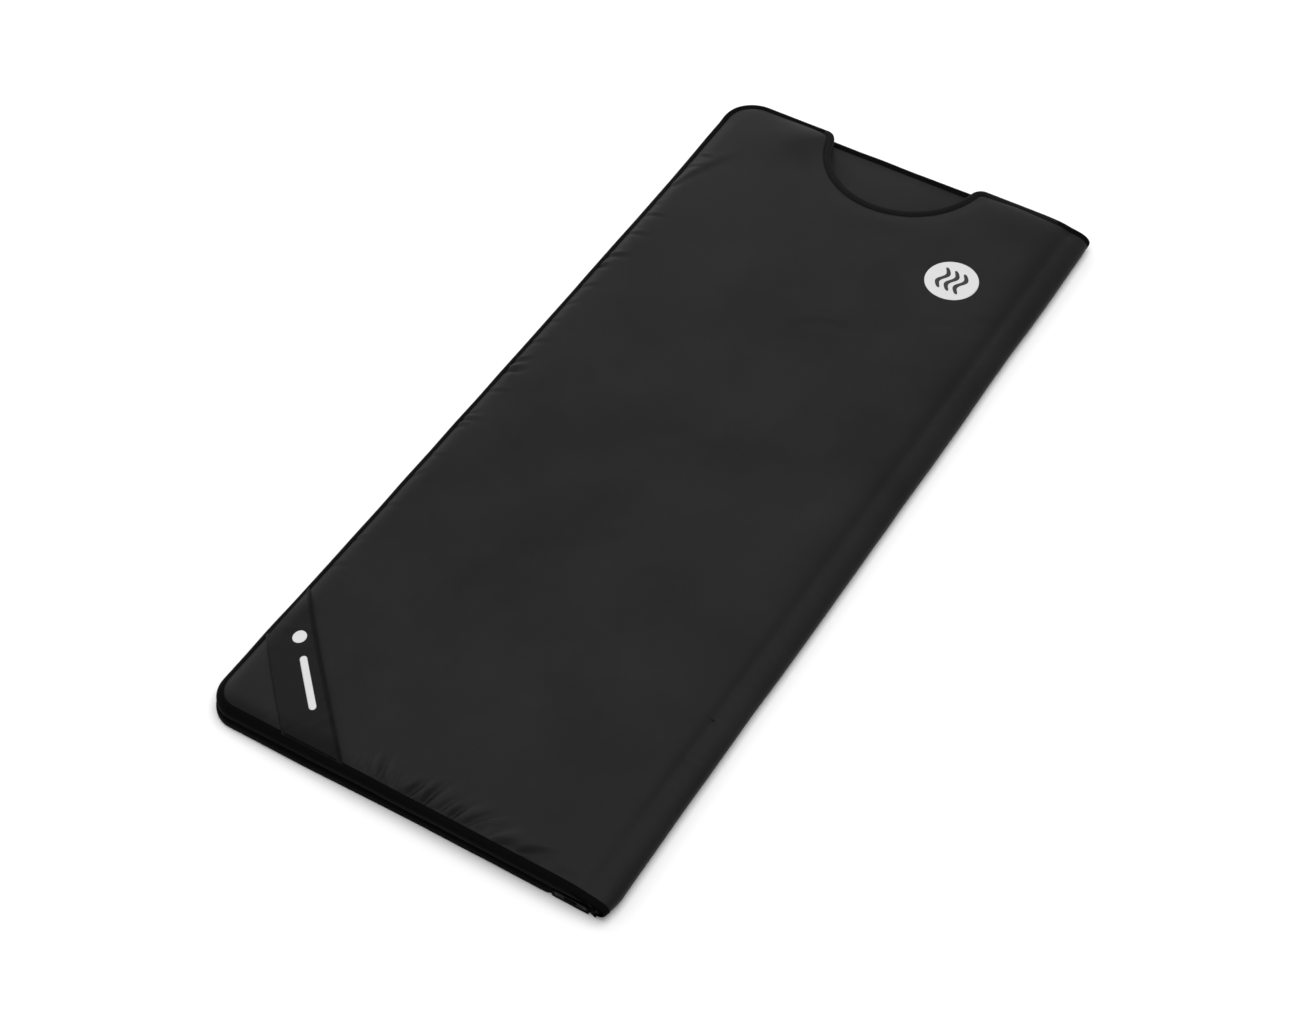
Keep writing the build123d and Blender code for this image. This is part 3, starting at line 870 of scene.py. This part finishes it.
# Across the tape: distance in from the edge and height over the cloth, in mm
TAPE_TOP = ((12.4, -0.6), (13.0, 0.4), (12.8, 1.2), (11.4, 1.3), (10.2, 0.55), (9.0, 1.35), (6.5, 1.75),
            (4.0, 2.0), (2.0, 1.9), (0.5, 1.2))
TAPE_TURN = (62, 38, 14, -14, -38, -62)
STITCH_AT, STITCH_PITCH, STITCH_LENGTH, THREAD_RADIUS = 10.2 * MM, 5.0 * MM, 3.4 * MM, 0.42 * MM
THREAD_ENDS = np.array([0.45, 1, 1, 1, 0.45])    # a stitch is thinner where it goes into the cloth


def tape(name, half, run, materials, wide=1.0, inner=None):
    """Binding tape folded over the edge, with its rows of stitches. On the fold it stops at the
    lining's pad, at the share of the thickness that inner gives."""
    points, normals = run
    under_side = lining_place if half is cover and inner is None else lambda u: u
    rings = []

    def ring(inset, side, height):
        at = points - normals * inset
        u, d = at[:, 0], np.full(len(at), inset)
        if side < 0:
            u = under_side(u)
            share = half.inner_share(u, at[:, 1], d) if inner is None else inner
        else:
            share = half.outer_share(u, at[:, 1], d)
        return half.place(u, at[:, 1], share, side * height)

    for inset, height in TAPE_TOP:
        rings.append(ring(inset * wide * MM, 1, height * MM))
    none = np.zeros(len(points))
    high = half.outer_share(points[:, 0], points[:, 1], none)
    low = half.inner_share(points[:, 0], points[:, 1], none) if inner is None else none + inner
    for angle in np.radians(TAPE_TURN):
        part = (1 - math.sin(angle)) / 2
        u = points[:, 0] * (1 - part) + under_side(points[:, 0]) * part
        rim = half.place(u, points[:, 1], high * (1 - part) + low * part, MM * math.sin(angle))
        # it bulges outwards, except where it goes round the fold
        off_fold = points[:, :1] < SEAM_OUTER + normals[:, :1] ** 2
        rim[:, :2] += normals * 1.5 * MM * math.cos(angle) * off_fold
        rings.append(rim)
    for inset, height in reversed(TAPE_TOP):
        rings.append(ring(inset * wide * MM, -1, height * MM))
    grid = np.stack(rings, 1)
    made = Pieces()
    made.add(grid, [f[::-1] for f in tube_faces(*grid.shape[:2])])
    add_stitches(made, half, points, normals, 1, wide, under_side)
    if inner is None:
        add_stitches(made, half, points, normals, -1, wide, under_side)
    return made.object(name, materials)


def add_stitches(made, half, points, normals, side, wide, under_side):
    """A row of stitches along the tape, on the outer cloth (side 1) or the lining (side -1)."""
    along = lengths_along(points)
    height = side * np.array([0.4, 0.9, 1.1, 0.9, 0.4]) * MM
    for start in np.arange(2 * MM, along[-1] - STITCH_PITCH, STITCH_PITCH):
        s = start + np.array([0, 0.12, 0.5, 0.88, 1]) * STITCH_LENGTH
        at = np.stack([np.interp(s, along, points[:, i]) for i in (0, 1)], -1)
        out = np.stack([np.interp(s, along, normals[:, i]) for i in (0, 1)], -1)
        at = at - out * STITCH_AT * wide
        if side < 0:
            at[:, 0] = under_side(at[:, 0])
        d = np.full(len(s), STITCH_AT * wide)
        share = (half.outer_share if side > 0 else half.inner_share)(at[:, 0], at[:, 1], d)
        path = half.place(at[:, 0], at[:, 1], share, height)
        up = half.place(at[:, 0], at[:, 1], share, height + MM) - path
        add_thread(made, path, unit(up))


def add_thread(made, path, up):
    """One stitch: a thin tube of six sides along a path of five points."""
    around = np.radians(np.arange(6) * 60)[None, :, None]
    cross = np.cross(unit(np.gradient(path, axis=0)), up)
    circle = cross[:, None] * np.cos(around) + up[..., None, :] * np.sin(around)
    size = THREAD_RADIUS * THREAD_ENDS[:, None, None]
    made.add(path[:, None] + circle * size, tube_faces(5, 6), 1)


def rounded_ring(centre, width, height, radius, y, count=12):
    """Points round an upright rounded rectangle."""
    corner = np.radians(np.linspace(0, 90, count // 4 + 1))
    points = []
    for quarter, (sx, sz) in enumerate(((1, 1), (-1, 1), (-1, -1), (1, -1))):
        turned = corner + math.pi / 2 * quarter
        x = centre[0] + sx * (width / 2 - radius) + radius * np.cos(turned)
        z = centre[1] + sz * (height / 2 - radius) + radius * np.sin(turned)
        points.append(np.stack([x, np.full_like(x, y), z], -1))
    return np.concatenate(points)


def inlet_frame(material):
    """Tape sewn round the inlet's flange, over its backing plate."""
    centre = ((inlet_lo.x + inlet_hi.x) / 2, (inlet_lo.z + inlet_hi.z) / 2)
    wide, tall = inlet_hi.x - inlet_lo.x, inlet_hi.z - inlet_lo.z
    # each ring: how much wider and taller than the plate, and how proud of the foot, in mm
    sizes = ((-4, -4, -0.6), (-4, -4, 0.5), (-3, -3, 1.0), (4, 0.6, 1.0), (5, 1.2, 0.3), (5, 1.2, -3.0),
             (-3, -3, -3.0))
    rings = [rounded_ring(centre, wide + a * MM, tall + b * MM, 2.5 * MM, FOOT - proud * MM)
             for a, b, proud in sizes]
    grid = np.stack(rings, 0)
    around = grid.shape[1]
    faces = tube_faces(len(sizes), around, closed_ends=False)
    last = (len(sizes) - 1) * around
    faces += [(last + j, j, (j + 1) % around, last + (j + 1) % around) for j in range(around)]
    return new_object("inlet_frame_tape", grid.reshape(-1, 3), [f[::-1] for f in faces], [material])


def make_bindings(materials):
    # the edge and fold tapes use binding tape darkened with painted shade; the neckline keeps the plain
    # binding tape
    skins = [materials["base_tape"], materials["thread"]]
    runs = outline_runs(cover, 4 * MM)
    edge = tape("cover_edge_tape", cover, runs["edge"], skins)
    neck_skins = [materials["binding_tape"], materials["thread"]]
    neck = tape("neckline_tape", cover, runs["neck"], neck_skins, wide=1.2)
    fold_foot = tape("fold_foot_tape", cover, runs["fold_foot"], skins, inner=FOLD_LINING)
    fold_head = tape("fold_head_tape", cover, runs["fold_head"], skins, inner=FOLD_LINING)
    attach(edge, "cover")
    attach(neck, "cover")
    blend_over_fold(fold_foot)
    blend_over_fold(fold_head)
    runs = outline_runs(base, 5 * MM)
    under = tape("base_edge_tape", base, runs["edge"], skins)
    beside = tape("base_inlet_tape", base, runs["beside_inlet"], skins)
    # the inlet frame's tape is also darkened with painted shade
    frame_piece = inlet_frame(materials["base_tape"])
    for piece in (under, beside, frame_piece):
        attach(piece, "base")
    stands_for = {"cover_edge_binding": edge, "neckline_binding": neck, "fold_binding_foot": fold_foot,
                  "fold_binding_head": fold_head, "base_edge_binding": under}
    for node, piece in stands_for.items():
        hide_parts(node)


# --- Corner band and printed marks -----------------------------------------------------------

BAND_START = 120 * MM     # distance from the cut corner to the band's sewn edge
BAND_WIDTH = 88 * MM
BAND_THICKNESS = 0.9 * MM
HEM = 9 * MM
CHEST_RADIUS = 52.5 * MM
SMALL_RADIUS = 13 * MM
BAR_LENGTH, BAR_WIDTH = 116 * MM, 13 * MM


def on_band(s, t):
    """Flat place on the cover from s along the band, from its middle, and t across it."""
    reach = (BAND_START + t) / math.sqrt(2)
    return LEFT + reach + s / math.sqrt(2), FOOT + reach - s / math.sqrt(2)


def band_height(s, t, half_length):
    """How far the band stands off the cover: sewn at one side, a little slack at the other."""
    loose = smoothstep(t / BAND_WIDTH)
    held = smoothstep((half_length - np.abs(s)) / (50 * MM))
    slack = (0.8 + 4.2 * loose**2) * MM * held
    places = ((-0.105, 0.5, 1.3), (-0.06, 0.35, 0.7), (0.075, -0.45, 1.1), (0.115, -0.3, 1.4),
              (0.02, 0.2, 0.4))
    creases = np.zeros_like(s)
    for at, lean, tall in places:
        creases = creases + tall * MM * bell((s - at - lean * (t - BAND_WIDTH / 2)) / (9 * MM))
    rough = 0.5 * MM * noise(s, t, 0.03, SEED + 9)
    return BAND_THICKNESS + slack + (creases + rough) * held * (0.35 + 0.65 * loose)


def make_band(materials):
    rows, columns = 30, 170
    t = np.linspace(0, BAND_WIDTH, rows)[None, :] + np.zeros((columns, 1))
    ends = BAND_START + t - TAPE_WIDTH
    s = np.linspace(-1, 1, columns)[:, None] * ends
    u, v = on_band(s, t)
    lift = band_height(s, t, ends)
    hem = (smoothstep((t - BAND_WIDTH + HEM) / MM) + smoothstep((4 * MM - t) / MM)) * 0.7 * MM
    seam = -0.5 * MM * bell((t - BAND_WIDTH + HEM * 0.75) / (0.9 * MM))
    top = cover.outer(u, v, lift + hem + seam)
    under = cover.outer(u, v, lift - BAND_THICKNESS)
    every = shell_faces(strip_quads(columns, rows), rows * columns)
    # the walls and the two rows at the loose edge are of binding tape
    trim = (np.tile(np.arange(rows - 1), columns - 1) >= rows - 3) * 2
    slots = np.r_[trim, trim, np.full(len(every) - 2 * len(trim), 2)]
    made = Pieces()
    made.add(np.concatenate([top.reshape(-1, 3), under.reshape(-1, 3)]), every, slots)
    up = np.array([0, 0, 1.0])
    for across in (BAND_WIDTH - 0.75 * HEM, 2.2 * MM):
        reach = BAND_START + across - 16 * MM
        for at in np.arange(-reach, reach - STITCH_PITCH, STITCH_PITCH):
            ss = at + np.array([0, 0.15, 0.5, 0.85, 1]) * STITCH_LENGTH
            tt = np.full(5, across)
            uu, vv = on_band(ss, tt)
            bed = band_height(ss, tt, reach) + 0.35 * MM
            path = cover.outer(uu, vv, bed + np.array([-0.3, 0.15, 0.3, 0.15, -0.3]) * MM)
            add_thread(made, path, up)
    skins = [materials["band_cloth"], materials["thread"], materials["binding_tape"]]
    band = made.object("corner_band_cloth", skins)
    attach(band, "cover")
    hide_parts("corner_band")


def disc(centre, radius, count):
    """A round of quads, from a square grid bent into a circle."""
    x, y = np.meshgrid(np.linspace(-1, 1, count), np.linspace(-1, 1, count), indexing="ij")
    x, y = x * np.sqrt(1 - y * y / 2), y * np.sqrt(1 - x * x / 2)
    return centre[0] + radius * x.ravel(), centre[1] + radius * y.ravel(), strip_quads(count, count)


def pill(place, length, width, count=60):
    """A bar with round ends: place turns lengths along and across it into flat places."""
    r = width / 2
    x = length / 2 * np.sin(np.linspace(-math.pi / 2, math.pi / 2, count))
    past = np.maximum(abs(x) - (length / 2 - r), 0)
    half = np.sqrt(np.maximum(r * r - past**2, (0.1 * r) ** 2))
    across = np.linspace(-1, 1, 6)
    s, t = np.broadcast_to(x[:, None], (count, 6)), half[:, None] * across
    u, v = place(s.ravel(), t.ravel())
    return u, v, strip_quads(count, 6)


def heat_line(centre, offset, length, width, count=60):
    """One wavy line, as on a heat symbol."""
    y = np.linspace(-length / 2, length / 2, count)
    wave = 5.5 * MM * np.sin(y / length * 2 * math.pi * 1.25)
    ends = np.sqrt(np.clip(1 - (np.abs(y) / (length / 2)) ** 12, 0.02, 1))
    x = offset + wave[:, None] + width / 2 * ends[:, None] * np.linspace(-1, 1, 5)
    return centre[0] + x.ravel(), centre[1] + np.repeat(y, 5), strip_quads(count, 5)


def middle_of(node):
    lo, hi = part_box(node)
    return (lo.x + hi.x) / 2, (lo.y + hi.y) / 2


def band_place(centre):
    """Turns lengths along and across the band into flat places, about a point of it."""
    r = math.sqrt(0.5)
    return lambda s, t: (centre[0] + (s + t) * r, centre[1] + (t - s) * r)


def over_band(u, v):
    """Height of the band above the cover, for a mark that lies on it."""
    s = ((u - LEFT) - (v - FOOT)) / math.sqrt(2)
    t = ((u - LEFT) + (v - FOOT)) / math.sqrt(2) - BAND_START
    return band_height(s, t, BAND_START + t - TAPE_WIDTH)


def on_cover(u, v):
    """The same for a mark that lies on the cover itself."""
    return np.zeros_like(u)


def make_prints(materials):
    skins = [materials["print_grey"], materials["print_dark"]]
    centre = middle_of("chest_badge")
    made = Pieces()
    print_on(made, disc(centre, CHEST_RADIUS, 56), on_cover, 0.5 * MM, 0)
    for offset in (-19, 0, 19):
        print_on(made, heat_line(centre, offset * MM, 58 * MM, 9 * MM), on_cover, 0.8 * MM, 1)
    chest = made.object("chest_print", skins)
    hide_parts("chest_badge")
    made = Pieces()
    print_on(made, disc(middle_of("corner_badge"), SMALL_RADIUS, 20), over_band, 0.5 * MM, 0)
    small = made.object("corner_print", skins)
    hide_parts("corner_badge")
    made = Pieces()
    place = band_place(middle_of("corner_bar"))
    print_on(made, pill(place, BAR_LENGTH, BAR_WIDTH), over_band, 0.5 * MM, 0)
    bar = made.object("corner_bar_print", skins)
    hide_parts("corner_bar")
    for piece in (chest, small, bar):
        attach(piece, "cover")


def print_on(made, shape, height, thick, slot):
    """Adds a thin print that follows the cloth."""
    u, v, faces = shape
    top = cover.outer(u, v, height(u, v) + thick)
    under = cover.outer(u, v, height(u, v) - 0.2 * MM)
    made.add(np.concatenate([top, under]), shell_faces(faces, len(u)), slot)


def dress_cad_nodes(materials):
    """Gives the frame's own nodes the same materials."""
    for part in frame["record"]["subparts"]:
        node = frame["nodes"][part["node"]]
        for place in node.material_slots:
            place.material = materials[part["material_slot"]]


make_camera()
make_studio()
materials = make_materials()
dress_cad_nodes(materials)
cover.settled = settle(cover)
make_pads(materials)
make_bindings(materials)
make_band(materials)
make_prints(materials)
